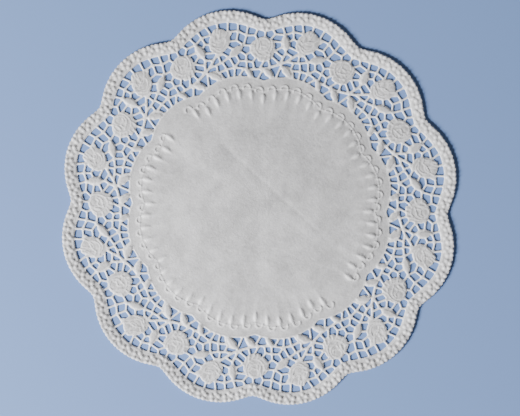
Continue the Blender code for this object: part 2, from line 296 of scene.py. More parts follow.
# The petals' raised edges: rose, petal, and points across (anticlockwise) and outwards from the
# rose's middle
PETALS = (
    ("A", "cup", ((-6.2, 1.8), (-5.7, -1.8), (-3.6, -5.4), (0.2, -7.1), (3.4, -5.8), (7.4, -4.4))),
    ("A", "fold", ((-9.0, 5.6), (-6.2, 2.4), (-2.0, 1.1), (1.6, -0.2), (4.1, -2.4))),
    ("A", "heart", ((-5.4, 1.4), (-3.2, -0.6), (0.0, -1.3), (2.2, -0.9))),
    ("A", "left tip", ((-2.9, 8.6), (-2.0, 6.2), (-1.5, 3.6))),
    ("A", "middle", ((-0.2, 6.4), (-0.6, 3.8), (-0.2, 1.2))),
    ("A", "right", ((-1.1, 10.6), (-0.2, 7.8), (2.0, 5.8), (3.9, 3.0), (4.1, 0.2))),
    ("A", "far right", ((1.7, 10.4), (2.4, 7.6), (4.6, 5.2), (5.7, 2.2), (7.4, 0.6))),
    ("A", "hem", ((4.1, -2.4), (5.8, -1.0), (7.9, 0.0))),
    ("A", "foot", ((-7.4, -5.8), (-3.4, -7.9), (0.4, -9.2), (2.9, -8.4), (5.6, -6.0))),
    ("B", "left", ((-7.8, 6.2), (-8.3, 2.3), (-7.5, -2.3), (-5.3, -5.8), (-1.9, -7.6))),
    ("B", "low", ((-1.9, -7.6), (1.9, -7.5), (5.3, -5.2), (7.7, -1.6))),
    ("B", "right", ((7.7, -1.6), (8.0, 1.9), (6.6, 4.9), (4.7, 6.6))),
    ("B", "inner left", ((-6.3, 2.9), (-5.3, -0.6), (-3.1, -2.6), (0.3, -3.4), (2.8, -4.2))),
    ("B", "heart", ((-4.4, 2.6), (-2.8, 0.6), (-0.3, 1.1), (1.6, 0.6), (1.9, -1.9))),
    ("B", "head", ((-6.0, 4.5), (-4.1, 7.0), (-1.3, 8.2), (1.9, 7.6), (3.0, 4.9), (2.2, 1.6))),
    ("B", "cheek", ((4.7, 5.5), (4.2, 2.3), (4.7, -0.8))),
    ("B", "sepal 1", ((-6.3, -5.6), (-6.0, -8.6), (-5.8, -11.4))),
    ("B", "sepal 2", ((-2.8, -8.0), (-1.8, -10.2), (-0.9, -12.0))),
    ("B", "sepal 3", ((1.3, -8.0), (1.7, -10.0), (1.9, -12.0))),
    ("B", "sepal 4", ((3.4, -6.9), (4.8, -8.2), (6.3, -9.4))),
    ("B", "sepal 5", ((7.5, -3.2), (9.0, -3.9), (10.2, -4.2))),
    ("B", "sepal 6", ((8.0, 1.6), (9.6, 1.9), (10.8, 1.9))),
)
PETAL_WIDTH = 1.0  # from crest to foot

# The outer edge's row of small bumps
BUMPS_PER_REPEAT = 24
BUMP_HEIGHT = 0.65  # from the hollow between two bumps to a bump's top
BUMP_SINK = 0.45  # of the hollows, inside the edge

# The rim's flowers, eight in each repeat, of which the one at the notch is turned over. Each has
# five round petals. Between two flowers are two small pits: how far they are inside the edge, and
# their radius.
FLOWERS = 8
PETALS_PER_FLOWER = 5
FLOWER_INSET = 4.3  # of a flower's middle, inside the edge
NOTCH_FLOWER_INSET = 5.2
FLOWER_RADIUS = 3.35  # out to the middles of its petals
FLOWER_PETAL = 2.15  # a petal's radius
PITS = ((2.9, 1.4), (6.7, 1.3))
SWAG_INSET = 9.3  # of the raised line along the rim's inner edge
SWAG_WIDTH = 1.0  # from crest to foot

# The stitches embossed round the field, five in each repeat. Two by two, four of the sixty are
# left out. Each has a spindle with a soft fold past its foot, a loop that springs from its outer
# end, and a thread on to the next.
STITCHES = 60
STITCH_INSET = 11.0  # of the spindle's outer end and the thread, inside the field's edge
SPINDLE_LENGTH = 11.8
# Half the spindle's width at shares of its length, from its neck to its pointed foot
SPINDLE_OUTLINE = (
    (0.0, 0.8),
    (0.08, 1.1),
    (0.18, 2.1),
    (0.4, 2.8),
    (0.7, 2.0),
    (1.0, 0.1),
)
NECK_SHARE = 0.125  # of its length, over which a spindle rises to its full height
SPINDLE_ROUNDING = 1.4  # of its back: 1 would be a sharp ridge, and 2 a round one
FOLD_SHARE = 0.2  # the height, in spindles, of the soft fold that runs on past a spindle's foot
FOLD_REACH = 2.4  # and how far it runs, in spindles' lengths from the outer end
FOLD_FADE = 1.5  # and over how much of that it dies away
FOLD_WIDTH = 3.0
LOOP_RADIUS = 3.1
LOOP_SWEEP = (190.0, -10.0)  # degrees, from its outer end round to its inner end
LOOP_OFFSET = 3.7  # of its middle from the spindle, anticlockwise
LOOP_WIDTH = 0.8  # from crest to foot
PIT_RISE = 1.5  # of the pit inside a loop, from the thread to the pit's middle
PIT_RADIUS = 2.3
THREAD_WIDTH = 0.65
PLAIN_STITCHES = (17, 18, 47, 48)

# A faint fold across the field, from end to end
CREASE = ((-34.0, 57.0), (52.0, -21.0))
CREASE_WIDTH = 2.6  # from its bottom to where it ends

# Heights of the embossing
RIM_BASE = 0.3
RIM_HEIGHT = 0.3  # of its low vault above its base
RIM_VAULT = (0.1, 0.9)  # the shares of its width between which it is vaulted
FLOWER_HEIGHT = 1.0
PIT_DEPTH = 0.35
SWAG_HEIGHT = 0.25
BAR_HEIGHT = 0.5
LEAF_HEIGHT = 1.25
ROSE_HEIGHT = 0.5
BACK_HEIGHT = 0.3
PETAL_HEIGHT = 0.5
FIELD_HEIGHT = 0.3
SPINDLE_HEIGHT = 1.15
LOOP_HEIGHT = 0.75
LOOP_PIT = 0.2  # the depth inside a loop
THREAD_HEIGHT = 0.3
HEM_HEIGHT = 0.35
HEM_INSET = 0.9
HEM_WIDTH = 0.8  # from crest to foot
CREASE_DEPTH = 0.2
UNDERSIDE = 0.5  # how much of the embossing shows underneath, where the paper is less drawn
FIELD_RISE = 2.0  # the width over which the field rises from its edge
ROSE_MARGIN = 1.5  # how far a rose's relief runs past its circle
EDGE_REACH = 6.0  # distances from a cut edge are measured this far
FAR_OUTSIDE = -1e3  # stands for the depth inside a shape of a point that is nowhere near it
# How far in from a cut edge each part of the paper rounds up to its full height
LIPS = {"net": 1.15, "leaf": 2.6, "rim": 1.0, "field": 0.8}

# The paper's colours and finish: plain, and where a painted highlight whitens the raised parts and cut
# edges, which are also made glossier
HIGHLIGHT_ATTRIBUTE = "painted_highlight"
EDGE_HIGHLIGHT = 1.4  # how far in from a cut edge the painted highlight reaches
HIGHLIGHT_AND_GLOSS = {  # how far each raised part is whitened with painted highlight and made glossier, from 0 to 1
    "leaf": 0.1,
    "petal": 0.5,
    "flower": 0.75,
    "swag": 0.6,
    "rim edge": 0.3,
    "hem": 0.6,
    "thread": 0.5,
    "loop": 0.9,
}
PAPER_DARK = "AFAEAD"
PAPER_LIGHT = "E8E7E6"
# The colour of the painted highlight, which stands in for light on raised parts and cut edges
PAPER_HIGHLIGHT = "FAF9F8"
PAPER_SPECULAR = 0.7
CLOUDS = {"Scale": 33.0, "Detail": 8.0, "Roughness": 0.85}  # the scale is in clouds to the metre
CLOUD_RANGE = (0.32, 0.68)  # of the noise, from the darkest to the lightest paper
ROUGH_PAPER = 0.55
# Roughness where the painted highlight is: glossier than plain paper
ROUGH_GLOSSY = 0.34
# Its grain: how many to the metre, the noise's detail, and the depth in millimetres. They are
# cockles 9 mm across, felt marks 2 mm across, and fibres drawn at 0.7 mm, coarser than real ones
# so that they show.
GRAINS = ((110.0, 2.0, 0.3), (480.0, 3.0, 0.24), (1500.0, 3.0, 0.2))
GRAIN_ROUGHNESS = 0.6
MIX_FIRST, MIX_SECOND, MIX_RESULT = 6, 7, 2  # the sockets of the Mix node that carry colours

# How the sheet lies: its middle stands in a low dome, its rim turns up, and it waves a little
DOME_HEIGHT = 4.0
DOME_REACH = 100.0  # in from the field's edge
RIM_LIFT = 1.3
RIM_TURN = 13.0  # the width that turns up
RIM_CURL = 1.5  # 1 would be a straight slope, and more turns up nearer the edge
# Its waves: how far one is across, and how high it stands
WAVES = ((120.0, 1.4), (42.0, 0.5), (17.0, 0.2))
NET_WAVES = 0.2  # their share outside the field, where the embossing stiffens the paper
WAVE_FADE = 25.0  # in from the field's edge

# Spacing of the mesh's points
HOLE_STEP = 1.15
EDGE_STEP = 0.3  # along the outlines that distances to an edge are measured from
LINE_STEP = 0.3  # and along the petals' edges
HEM_STEP = 0.5  # degrees
RIM_STEPS = 5  # per bump of the edge
RIM_ROWS = (0.4, 0.8)  # the first row's distance inside the edge, and from row to row
RIM_INNER = 10.2  # where the net's points begin, inside the edge
ROSE_STEP, BAR_STEP, NET_STEP, STITCH_STEP, FIELD_STEP = 0.76, 1.0, 1.05, 1.65, 3.4
UNDER_FIELD_STEP, UNDER_ROSE_STEP, UNDER_RIM_STEP = 5.0, 2.2, 2.4
CREASE_STEP = 1.0
CREASE_LINES = (-1.0, -0.5, 0.0, 0.5, 1.0)  # beside the fold, in its widths
SPINDLE_OUTLINE_STEP = 0.05
SPINDLE_ROWS = (0.03, 0.97, 14)  # the shares of its length of the first and last, and how many
SPINDLE_ACROSS = (-1.0, -0.67, -0.33, 0.0, 0.33, 0.67, 1.0)  # in halves of its width
SPLINE_STEPS = 12  # of a spline, from one given point to the next
LOOP_POINTS = 24
THREAD_POINTS = 30
ROW_SHARE = 0.866  # the height of a triangle with sides of 1
# The rings that the points fill, from the inner to the outer radius
MIDDLE_RING = (6.0, 86.0)
STITCH_RING = (78.0, 119.0)
NET_RING = (113.0, 168.0)
UNDER_FIELD_RING = (6.0, 112.0)
UNDER_RIM_RING = (113.0, 181.0)
STITCH_DEPTH = 35.0  # how far inside the field's edge the stitches' points run
MIDDLE_DEPTH = 37.0  # and the middle's begin
# Least distances between the mesh's points
LINE_GAP = 0.55
RIM_GAP = 0.5
RING_GAP = 0.6  # of a ring's own step
EDGE_GAP = 0.45
UNDER_GAP = 1.0
GAP_REACH = 4.0  # distances between points are measured this far
OUTER_GAP = 0.35  # from the outer edge
SAME_POINT = 1e-5
MIDDLE_POINT = np.zeros((1, 2))


def at(angle, radius):
    """The point at an angle from the first notch and a distance from the middle."""
    turned = math.radians(FIRST_NOTCH + angle)
    return Vector((radius * math.cos(turned), radius * math.sin(turned)))


def scalloped(angle, crown, radius, rounding):
    """The edge of a ring of arcs whose crowns are that far out, with its notches rounded."""

    def reach(off_crown):
        across = (crown - radius) * np.sin(off_crown)
        along = (crown - radius) * np.cos(off_crown)
        return along + np.sqrt(np.maximum(0.0, radius**2 - across**2))

    off = np.radians(angle % REPEAT_ANGLE - REPEAT_ANGLE / 2)
    near = reach(off)
    far = reach(math.radians(REPEAT_ANGLE) - np.abs(off))
    return near + rounding * np.log1p(np.exp((far - near) / rounding)) if rounding else near


def rim_edge(angle, inside=0.0):
    """The rim's outer edge, or the line that far inside it."""
    return scalloped(angle, DIAMETER / 2 - inside, SCALLOP_RADIUS - inside, NOTCH_ROUNDING)


def field_edge(angle):
    """The plain field's edge."""
    return scalloped(angle, FIELD_CROWN, FIELD_ARC_RADIUS, 0.0)


def junction_table():
    """Each junction's angle, radius and outlines by name, and the next repeat's with a + behind."""
    table = {}
    for name, angle, radius, outlines in JUNCTIONS:
        if radius is None:
            radius = field_edge(angle)
        table[name] = (angle, radius, outlines)
        table[name + "+"] = (angle + REPEAT_ANGLE, radius, outlines)
    return table


def stem_widths():
    """The stem's width for every pair of junctions that it joins."""
    runs = [(width, names.split()) for width, names in STEMS]
    return {frozenset((p, q)): width for width, run in runs for p in run for q in run if p != q}


def bowed(start, end, radius):
    """The middle point of an arc of that radius from start to end that bulges to the left."""
    half = (end - start) / 2
    sagitta = radius - math.sqrt(max(0.0, radius**2 - half.length_squared))
    return start + half + Vector((-half.y, half.x)).normalized() * sagitta


def area(points):
    """The area inside an outline, negative where it runs clockwise."""
    return sum(p.cross(q) for p, q in zip(points, points[1:] + points[:1])) / 2


def meeting(before, after):
    """Where two sides meet once each has moved inwards by its own distance."""
    (p, u, inset_p), (q, v, inset_q) = before, after
    p = p + Vector((-u.y, u.x)) * inset_p
    moved_q = q + Vector((-v.y, v.x)) * inset_q
    turn = u.cross(v)
    if abs(turn) < NEARLY_STRAIGHT:
        return (moved_q + q + Vector((-u.y, u.x)) * inset_p) / 2
    return p + u * ((moved_q - p).cross(v) / turn)


def inset_outline(corners, insets):
    """An anticlockwise outline with each side moved inwards. A side that closes up is dropped."""
    sides = [
        (p, (q - p).normalized(), inset)
        for p, q, inset in zip(corners, corners[1:] + corners[:1], insets)
    ]
    while True:
        found = [meeting(sides[i - 1], side) for i, side in enumerate(sides)]
        runs = [
            (end - start).dot(side[1])
            for start, end, side in zip(found, found[1:] + found[:1], sides)
        ]
        shortest = min(range(len(runs)), key=runs.__getitem__)
        if runs[shortest] > 0:
            return found
        del sides[shortest]


def rounded(outline, radius):
    """An outline with a curve in place of each corner."""
    result = []
    for i, corner in enumerate(outline):
        back, ahead = outline[i - 1] - corner, outline[(i + 1) % len(outline)] - corner
        half = back.angle(ahead) / 2
        limit = CORNER_SHARE * min(back.length, ahead.length)
        reach = min(radius / math.tan(half), limit)
        start, end = corner + back.normalized() * reach, corner + ahead.normalized() * reach
        for t in CORNER_STEPS:
            result.append(start.lerp(corner, t).lerp(corner.lerp(end, t), t))
    return result


def evenly(points, step, closed=True):
    """Points at an even spacing near step along a line."""
    line = np.array([tuple(p) for p in points])
    if closed:
        line = np.vstack([line, line[:1]])
    along = np.concatenate([[0.0], np.cumsum(np.hypot(*np.diff(line, axis=0).T))])
    count = max(3, round(along[-1] / step))
    wanted = np.linspace(0.0, along[-1], count + 1)
    if closed:
        wanted = wanted[:-1]
    return np.stack([np.interp(wanted, along, line[:, k]) for k in (0, 1)], axis=1)


def hole(cell, table, stems):
    """The hole that is punched in one cell: what its bars, stems and outlines leave."""
    names = cell.split()
    if area([at(*table[name][:2]) for name in names]) < 0:
        names.reverse()
    bulging = ROSES | LEAVES
    corners, insets = [], []
    for name, following in zip(names, names[1:] + names[:1]):
        start, end = at(*table[name][:2]), at(*table[following][:2])
        shared = set(table[name][2]) & set(table[following][2])
        corners.append(start)
        if not shared:
            insets.append(stems.get(frozenset((name, following)), BAR_WIDTH) / 2)
            continue
        outline = shared.pop()
        insets.append(0.0)
        if outline in bulging:
            corners.append(bowed(start, end, bulging[outline][2]))
            insets.append(0.0)
    return evenly(rounded(inset_outline(corners, insets), CORNER_RADIUS), HOLE_STEP)


def spun(points):
    """Points repeated all the way round, one array for each repeat."""
    turns = np.radians(np.arange(REPEATS) * REPEAT_ANGLE)
    spin = [np.array([[math.cos(t), math.sin(t)], [-math.sin(t), math.cos(t)]]) for t in turns]
    return [points @ s for s in spin]


def along_scallop(inside, count, shift):
    """Angles at an even spacing along one scallop, on the line that far inside the rim's edge."""
    radius = SCALLOP_RADIUS - inside
    half = math.radians(REPEAT_ANGLE / 2)
    end = half + math.asin(SCALLOP_MIDDLE * math.sin(half) / radius)
    turns = ((np.arange(count) + shift) / count * 2 - 1) * end
    x = SCALLOP_MIDDLE + radius * np.cos(turns)
    return REPEAT_ANGLE / 2 + np.degrees(np.arctan2(radius * np.sin(turns), x))


def polar(angles, radii):
    """Points at angles from the first notch and distances from the middle."""
    turned = np.radians(FIRST_NOTCH + angles)
    return np.stack([radii * np.cos(turned), radii * np.sin(turned)], axis=1)


def rim_outline():
    """The outer edge, with its row of small round bumps."""
    count = BUMPS_PER_REPEAT * RIM_STEPS
    angles = along_scallop(0.0, count, 0.0)
    phase = math.pi * np.arange(count) / RIM_STEPS
    bump = BUMP_HEIGHT * np.sqrt(np.abs(np.sin(phase))) - BUMP_SINK
    return np.vstack(spun(polar(angles, rim_edge(angles) + bump)))


def rim_petals():
    """The middles of the petals of all the rim's flowers."""
    middles = []
    places = along_scallop(FLOWER_INSET, FLOWERS, 0.0)
    for number, place in enumerate(places):
        at_notch = number == 0
        inset, first = (NOTCH_FLOWER_INSET, 90.0) if at_notch else (FLOWER_INSET, -90.0)
        reach = rim_edge(place, inset)
        turns = np.radians(first + np.arange(PETALS_PER_FLOWER) * 360.0 / PETALS_PER_FLOWER)
        slant = 0.0 if at_notch else rim_slant(place)
        across = FLOWER_RADIUS * np.cos(turns)
        out = FLOWER_RADIUS * np.sin(turns) + slant * across
        middles.append(polar(place + np.degrees(across / reach), reach + out))
    return np.vstack(spun(np.vstack(middles)))


def rim_slant(angle):
    """How far the rim's edge runs outwards for each millimetre anticlockwise."""
    step = 0.5  # degrees
    rise = rim_edge(angle + step) - rim_edge(angle - step)
    return rise / (2 * math.radians(step) * rim_edge(angle))


def rim_pits(points):
    """How deep the rim's pits are at each point, from 0 to 1."""
    deepest = np.zeros(len(points))
    for inset, radius in PITS:
        angles = along_scallop(inset, FLOWERS, 0.5)
        middles = np.vstack(spun(polar(angles, rim_edge(angles, inset))))
        deepest = np.maximum(deepest, ridge(points, middles, radius))
    return deepest


def smooth_line(points, step=LINE_STEP):
    """A Catmull-Rom spline through a few points, as points at a fine even spacing."""
    p = np.array(points, dtype=float)
    p = np.vstack([2 * p[0] - p[1], p, 2 * p[-1] - p[-2]])
    t = np.linspace(0.0, 1.0, SPLINE_STEPS, endpoint=False)[:, None]
    runs = []
    for a, b, c, d in zip(p, p[1:], p[2:], p[3:]):
        bend = (2 * a - 5 * b + 4 * c - d) * t**2 + (3 * b - a - 3 * c + d) * t**3
        runs.append((2 * b + (c - a) * t + bend) / 2)
    return evenly(np.vstack(runs + [p[-2:-1]]), step, closed=False)


def bar_lines(table):
    """Points along the middle of each bar and stem, all the way round."""
    pairs = set()
    for cell in CELLS:
        names = cell.split()
        for pair in zip(names, names[1:] + names[:1]):
            if not set(table[pair[0]][2]) & set(table[pair[1]][2]):
                pairs.add(tuple(sorted(pair)))
    lines = [
        evenly([at(*table[n][:2]) for n in pair], BAR_STEP, closed=False) for pair in sorted(pairs)
    ]
    return np.vstack(spun(np.vstack(lines)))


def petal_lines(step=LINE_STEP):
    """Points along the petals' raised edges, all the way round."""
    lines = []
    for rose, _petal, points in PETALS:
        angle, radius, _bulge = ROSES[rose]
        turned = math.radians(FIRST_NOTCH + angle)
        outwards = np.array([math.cos(turned), math.sin(turned)])
        across = np.array([-outwards[1], outwards[0]])
        local = smooth_line(points, step)
        lines.append((radius + local[:, 1:]) * outwards + local[:, :1] * across)
    return np.vstack(spun(np.vstack(lines)))


def petal_backs(points):
    """The relief of the petals' backs, from 0 to 1."""
    height = np.zeros(len(points))
    for rose, _petal, across, out, length, width, turn in BACKS:
        angle, radius, _bulge = ROSES[rose]
        place = np.array([tuple(at(angle + math.degrees(across / (radius + out)), radius + out))])
        for number, middle in enumerate(np.vstack(spun(place))):
            away = points - middle
            near = np.hypot(*away.T) < length
            tilt = math.radians(FIRST_NOTCH + angle + number * REPEAT_ANGLE + 90.0 - turn)
            axis = np.array([math.cos(tilt), math.sin(tilt)])
            along = away[near] @ axis / length
            off = away[near] @ np.array([-axis[1], axis[0]]) / width
            height[near] = np.maximum(height[near], mound(np.hypot(along, off)))
    return height


def hem_line(inside):
    """Points along a line just inside the field's edge."""
    angles = np.arange(0.0, 360.0, HEM_STEP)
    return polar(angles, field_edge(angles) - inside)


def stitch_angles():
    """The angles of the stitches, from the first notch."""
    return [n * 360.0 / STITCHES for n in range(STITCHES) if n not in PLAIN_STITCHES]


def loop_middles():
    """Where the stitches' loops have their middles: angles and distances from the middle."""
    angles = np.array(stitch_angles())
    reach = field_edge(angles) - STITCH_INSET
    angles = angles + np.degrees(LOOP_OFFSET / reach)
    return angles, field_edge(angles) - STITCH_INSET


def loop_lines(wider=0.0):
    """Points along the loops of the stitches, or that far outside them."""
    sweep = np.radians(np.linspace(*LOOP_SWEEP, LOOP_POINTS))
    radius = LOOP_RADIUS + wider
    lines = []
    for angle, reach in zip(*loop_middles()):
        across = angle + np.degrees(radius * np.cos(sweep) / reach)
        lines.append(polar(across, reach + radius * np.sin(sweep)))
    return np.vstack(lines)


def thread_lines(wider=0.0):
    """Points along the threads from stitch to stitch, or that far outside them."""
    step = 360.0 / STITCHES
    lines = []
    for angle in stitch_angles():
        if round(angle / step) + 1 not in PLAIN_STITCHES:
            angles = np.linspace(angle, angle + step, THREAD_POINTS)
            lines.append(polar(angles, field_edge(angles) - STITCH_INSET + wider))
    return np.vstack(lines)


def crease_lines(wider=0.0):
    """Points along the fold, or that far beside it."""
    start, end = np.array(CREASE)
    side = np.array([start[1] - end[1], end[0] - start[0]]) / np.hypot(*(end - start))
    return evenly([start + wider * side, end + wider * side], CREASE_STEP, closed=False)


def spindle_half(along):
    """Half a spindle's width at a share of its length."""
    line = smooth_line(SPINDLE_OUTLINE, SPINDLE_OUTLINE_STEP)
    return np.interp(along, line[:, 0], line[:, 1])


def spindle_axes():
    """The outer and inner end of each spindle."""
    angles = np.array(stitch_angles())
    outer = field_edge(angles) - STITCH_INSET
    return polar(angles, outer), polar(angles, outer - SPINDLE_LENGTH)


def nearest(points, targets, limit):
    """Each point's distance to the nearest target, and the limit where it is further off."""
    tree = KDTree(len(targets))
    for i, (x, y) in enumerate(targets):
        tree.insert((x, y, 0.0), i)
    tree.balance()
    found = np.array([tree.find((x, y, 0.0))[2] for x, y in points])
    return np.minimum(found, limit)


def eased(t):
    """0 to 1 with level ends."""
    t = np.clip(t, 0.0, 1.0)
    return t * t * (3 - 2 * t)


def bell(t):
    """1 in the middle, falling smoothly to 0 at a distance of 1."""
    return (1 - np.clip(t, 0.0, 1.0) ** 2) ** 2


def mound(t):
    """1 in the middle, falling in a round back to a crease and 0 at a distance of 1."""
    return 1 - np.clip(t, 0.0, 1.0) ** 2


def lipped(distance, width):
    """0 at a cut edge, rising steeply from it and levelling out to 1 at that width."""
    t = np.clip(distance / width, 0.0, 1.0)
    return np.sqrt(1 - (1 - t) ** 2)


def polar_of(points):
    """Each point's angle from the first notch, and its distance from the middle."""
    angles = np.degrees(np.arctan2(points[:, 1], points[:, 0])) - FIRST_NOTCH
    return angles % 360.0, np.hypot(points[:, 0], points[:, 1])


def round_rose(points):
    """The distance inside each rose's outline, as far as a circle stands for it."""
    best = np.full(len(points), FAR_OUTSIDE)
    for angle, radius, size in ROSES.values():
        for middle in spun(np.array([tuple(at(angle, radius))])):
            best = np.maximum(best, size - np.hypot(*(points - middle).T))
    return best


def leaf_depth(points):
    """How far each point is inside a leaf, along its width."""
    best = np.full(len(points), FAR_OUTSIDE)
    for _leaf, tip_angle, tip_radius, foot_angle, foot_radius, width in LEAF_BODIES:
        ends = np.array([tuple(at(tip_angle, tip_radius)), tuple(at(foot_angle, foot_radius))])
        for start, end in spun(ends):
            axis = end - start
            length = np.hypot(*axis)
            along = (points - start) @ axis / length
            off = np.abs((points - start) @ np.array([-axis[1], axis[0]])) / length
            half = width / 2 * np.sqrt(np.clip(1 - (2 * along / length - 1) ** 2, 0.0, 1.0))
            best = np.maximum(best, half - off)
    return best


def spindle_height(points):
    """The relief of the spindles and their folds, from 0 to 1: higher where a spindle is wider."""
    height = np.zeros(len(points))
    widest = max(half for _share, half in SPINDLE_OUTLINE)
    for outer, inner in zip(*spindle_axes()):
        near = np.hypot(*(points - inner).T) < FOLD_REACH * SPINDLE_LENGTH
        axis = (inner - outer) / SPINDLE_LENGTH
        along = (points[near] - outer) @ axis / SPINDLE_LENGTH
        off = np.abs((points[near] - outer) @ np.array([-axis[1], axis[0]]))
        half = spindle_half(along)
        back = (1 - np.clip(off / half, 0.0, 1.0) ** SPINDLE_ROUNDING) * half / widest
        back *= eased(along / NECK_SHARE) * (along < 1.0)
        fading = eased(along) * eased((FOLD_REACH - along) / FOLD_FADE)
        fold = FOLD_SHARE * bell(off / FOLD_WIDTH) * fading
        height[near] = np.maximum(height[near], np.maximum(back, fold))
    return height


def lift(points):
    """How far the sheet itself stands off the table at each point."""
    waves = np.zeros(len(points))
    for across, height in WAVES:
        slices = [noise.noise((x / across, y / across, height)) for x, y in points]
        waves += height * (1 + np.array(slices)) / 2
    waves *= NET_WAVES + (1 - NET_WAVES) * eased(inside_field(points) / WAVE_FADE)
    inwards = np.clip(inside_field(points) / DOME_REACH, 0.0, 1.0)
    turned = np.clip(1 - inside_rim(points) / RIM_TURN, 0.0, 1.0)
    return DOME_HEIGHT * eased(inwards) + RIM_LIFT * turned**RIM_CURL + waves


def ridge(points, lines, width):
    """1 along the lines, falling smoothly to 0 at that distance from them."""
    return bell(nearest(points, lines, width) / width)


def embossing(points, edges):
    """The embossing's height at each point, and how strongly painted highlight whitens it and its
    finish is made glossier, from 0 to 1.
    """
    from_rim, from_field = inside_rim(points), inside_field(points)
    edge = nearest(points, edges, EDGE_REACH)
    lip = lipped(edge, LIPS["net"])
    # Painted highlight near every cut edge
    edge_highlight = bell(edge / EDGE_HIGHLIGHT)

    height = BAR_HEIGHT * lip
    # Bars and stems are whitened all over with painted highlight
    highlight_and_gloss = np.ones(len(points))
    in_leaf = leaf_depth(points) > 0
    height = np.where(in_leaf, LEAF_HEIGHT * lipped(edge, LIPS["leaf"]), height)
    highlight_and_gloss = np.where(in_leaf, np.maximum(HIGHLIGHT_AND_GLOSS["leaf"], edge_highlight), highlight_and_gloss)

    in_rose = in_roses(points)
    petals = ridge(points, petal_lines(), PETAL_WIDTH)
    backs = petal_backs(points)
    rose_top = ROSE_HEIGHT + PETAL_HEIGHT * petals + BACK_HEIGHT * backs
    height = np.where(in_rose, rose_top * lip, height)
    highlight_and_gloss = np.where(in_rose, np.maximum(HIGHLIGHT_AND_GLOSS["petal"] * petals, edge_highlight), highlight_and_gloss)

    in_rim = from_rim < RIM_WIDTH
    vault = np.sin(math.pi * np.clip(from_rim / RIM_WIDTH, *RIM_VAULT))
    flower = mound(nearest(points, rim_petals(), FLOWER_PETAL) / FLOWER_PETAL)
    swag = bell(np.abs(from_rim - SWAG_INSET) / SWAG_WIDTH)
    rim = RIM_BASE + RIM_HEIGHT * vault + FLOWER_HEIGHT * flower
    rim = rim + SWAG_HEIGHT * swag - PIT_DEPTH * rim_pits(points)
    height = np.where(in_rim, rim * lipped(edge, LIPS["rim"]), height)
    # Painted highlight on the rim's flowers, its swag and near its cut edges
    raised = [HIGHLIGHT_AND_GLOSS["flower"] * flower, HIGHLIGHT_AND_GLOSS["swag"] * swag, HIGHLIGHT_AND_GLOSS["rim edge"] * edge_highlight]
    highlight_and_gloss = np.where(in_rim, np.maximum.reduce(raised), highlight_and_gloss)

    in_field = from_field > 0
    hem = bell(np.abs(from_field - HEM_INSET) / HEM_WIDTH)
    thread = ridge(points, thread_lines(), THREAD_WIDTH)
    loop = ridge(points, loop_lines(), LOOP_WIDTH)
    turn, reach = loop_middles()
    dip = ridge(points, polar(turn, reach + PIT_RISE), PIT_RADIUS)
    crease = ridge(points, crease_lines(), CREASE_WIDTH)
    spindle = spindle_height(points)
    field = FIELD_HEIGHT * eased(from_field / FIELD_RISE) + HEM_HEIGHT * hem
    field = field + THREAD_HEIGHT * thread
    field = field + LOOP_HEIGHT * loop - LOOP_PIT * dip - CREASE_DEPTH * crease
    back = np.maximum(field, FIELD_HEIGHT + SPINDLE_HEIGHT * spindle)
    field = np.where(spindle > 0, back, field)
    height = np.where(in_field, field * lipped(edge, LIPS["field"]), height)
    # Painted highlight on the hem, threads, loops, spindles and near cut edges
    raised = [HIGHLIGHT_AND_GLOSS["hem"] * hem, HIGHLIGHT_AND_GLOSS["thread"] * thread, HIGHLIGHT_AND_GLOSS["loop"] * loop]
    highlight_and_gloss = np.where(in_field, np.maximum.reduce([edge_highlight, spindle, *raised]), highlight_and_gloss)
    return height, highlight_and_gloss


def hexagonal(inner, outer, step):
    """Points in rings between two distances from the middle, evenly spaced and staggered."""
    rings = []
    count = max(1, round((outer - inner) / (step * ROW_SHARE)))
    for j, radius in enumerate(np.linspace(inner, outer, count + 1)):
        number = REPEATS * max(1, round(2 * math.pi * radius / REPEATS / step))
        angles = (np.arange(number) + 0.5 * (j % 2)) * 360.0 / number
        rings.append(polar(angles, np.full(number, radius)))
    return np.vstack(rings)


def rim_points():
    """Points in rows that follow the rim's edge, evenly spaced."""
    rows = []
    first, step = RIM_ROWS
    count = BUMPS_PER_REPEAT * RIM_STEPS
    for inside in np.arange(first, RIM_WIDTH, step):
        angles = along_scallop(inside, count, 0.0)
        rows.append(polar(angles, rim_edge(angles, inside)))
    return np.vstack(spun(np.vstack(rows)))


def spindle_points():
    """Points along the back and the sides of each spindle."""
    made = []
    for outer, inner in zip(*spindle_axes()):
        side = np.array([outer[1] - inner[1], inner[0] - outer[0]]) / SPINDLE_LENGTH
        for share in np.linspace(*SPINDLE_ROWS):
            half = spindle_half(share)
            middle = outer + (inner - outer) * share
            made += [middle + side * half * across for across in SPINDLE_ACROSS]
    return np.array(made)


def apart(points, others, gap):
    """The points that are at least that far from every other one."""
    return points[nearest(points, others, GAP_REACH) >= gap]


def thinned(points, gap):
    """Points less those that are too near an earlier one."""
    taken, kept = {}, []
    for i, (x, y) in enumerate(points):
        cell = (math.floor(x / gap), math.floor(y / gap))
        around = [(cell[0] + a, cell[1] + b) for a in (-1, 0, 1) for b in (-1, 0, 1)]
        close = [k for c in around for k in taken.get(c, ())]
        if all(math.hypot(x - points[k][0], y - points[k][1]) >= gap for k in close):
            taken.setdefault(cell, []).append(i)
            kept.append(i)
    return points[kept]


def in_roses(points):
    """Which points are in the relief of a rose."""
    return round_rose(points) > -ROSE_MARGIN


def inside_rim(points):
    """How far each point is inside the rim's edge."""
    angles, radii = polar_of(points)
    return rim_edge(angles) - radii


def inside_field(points):
    """How far each point is inside the field's edge."""
    angles, radii = polar_of(points)
    return field_edge(angles) - radii


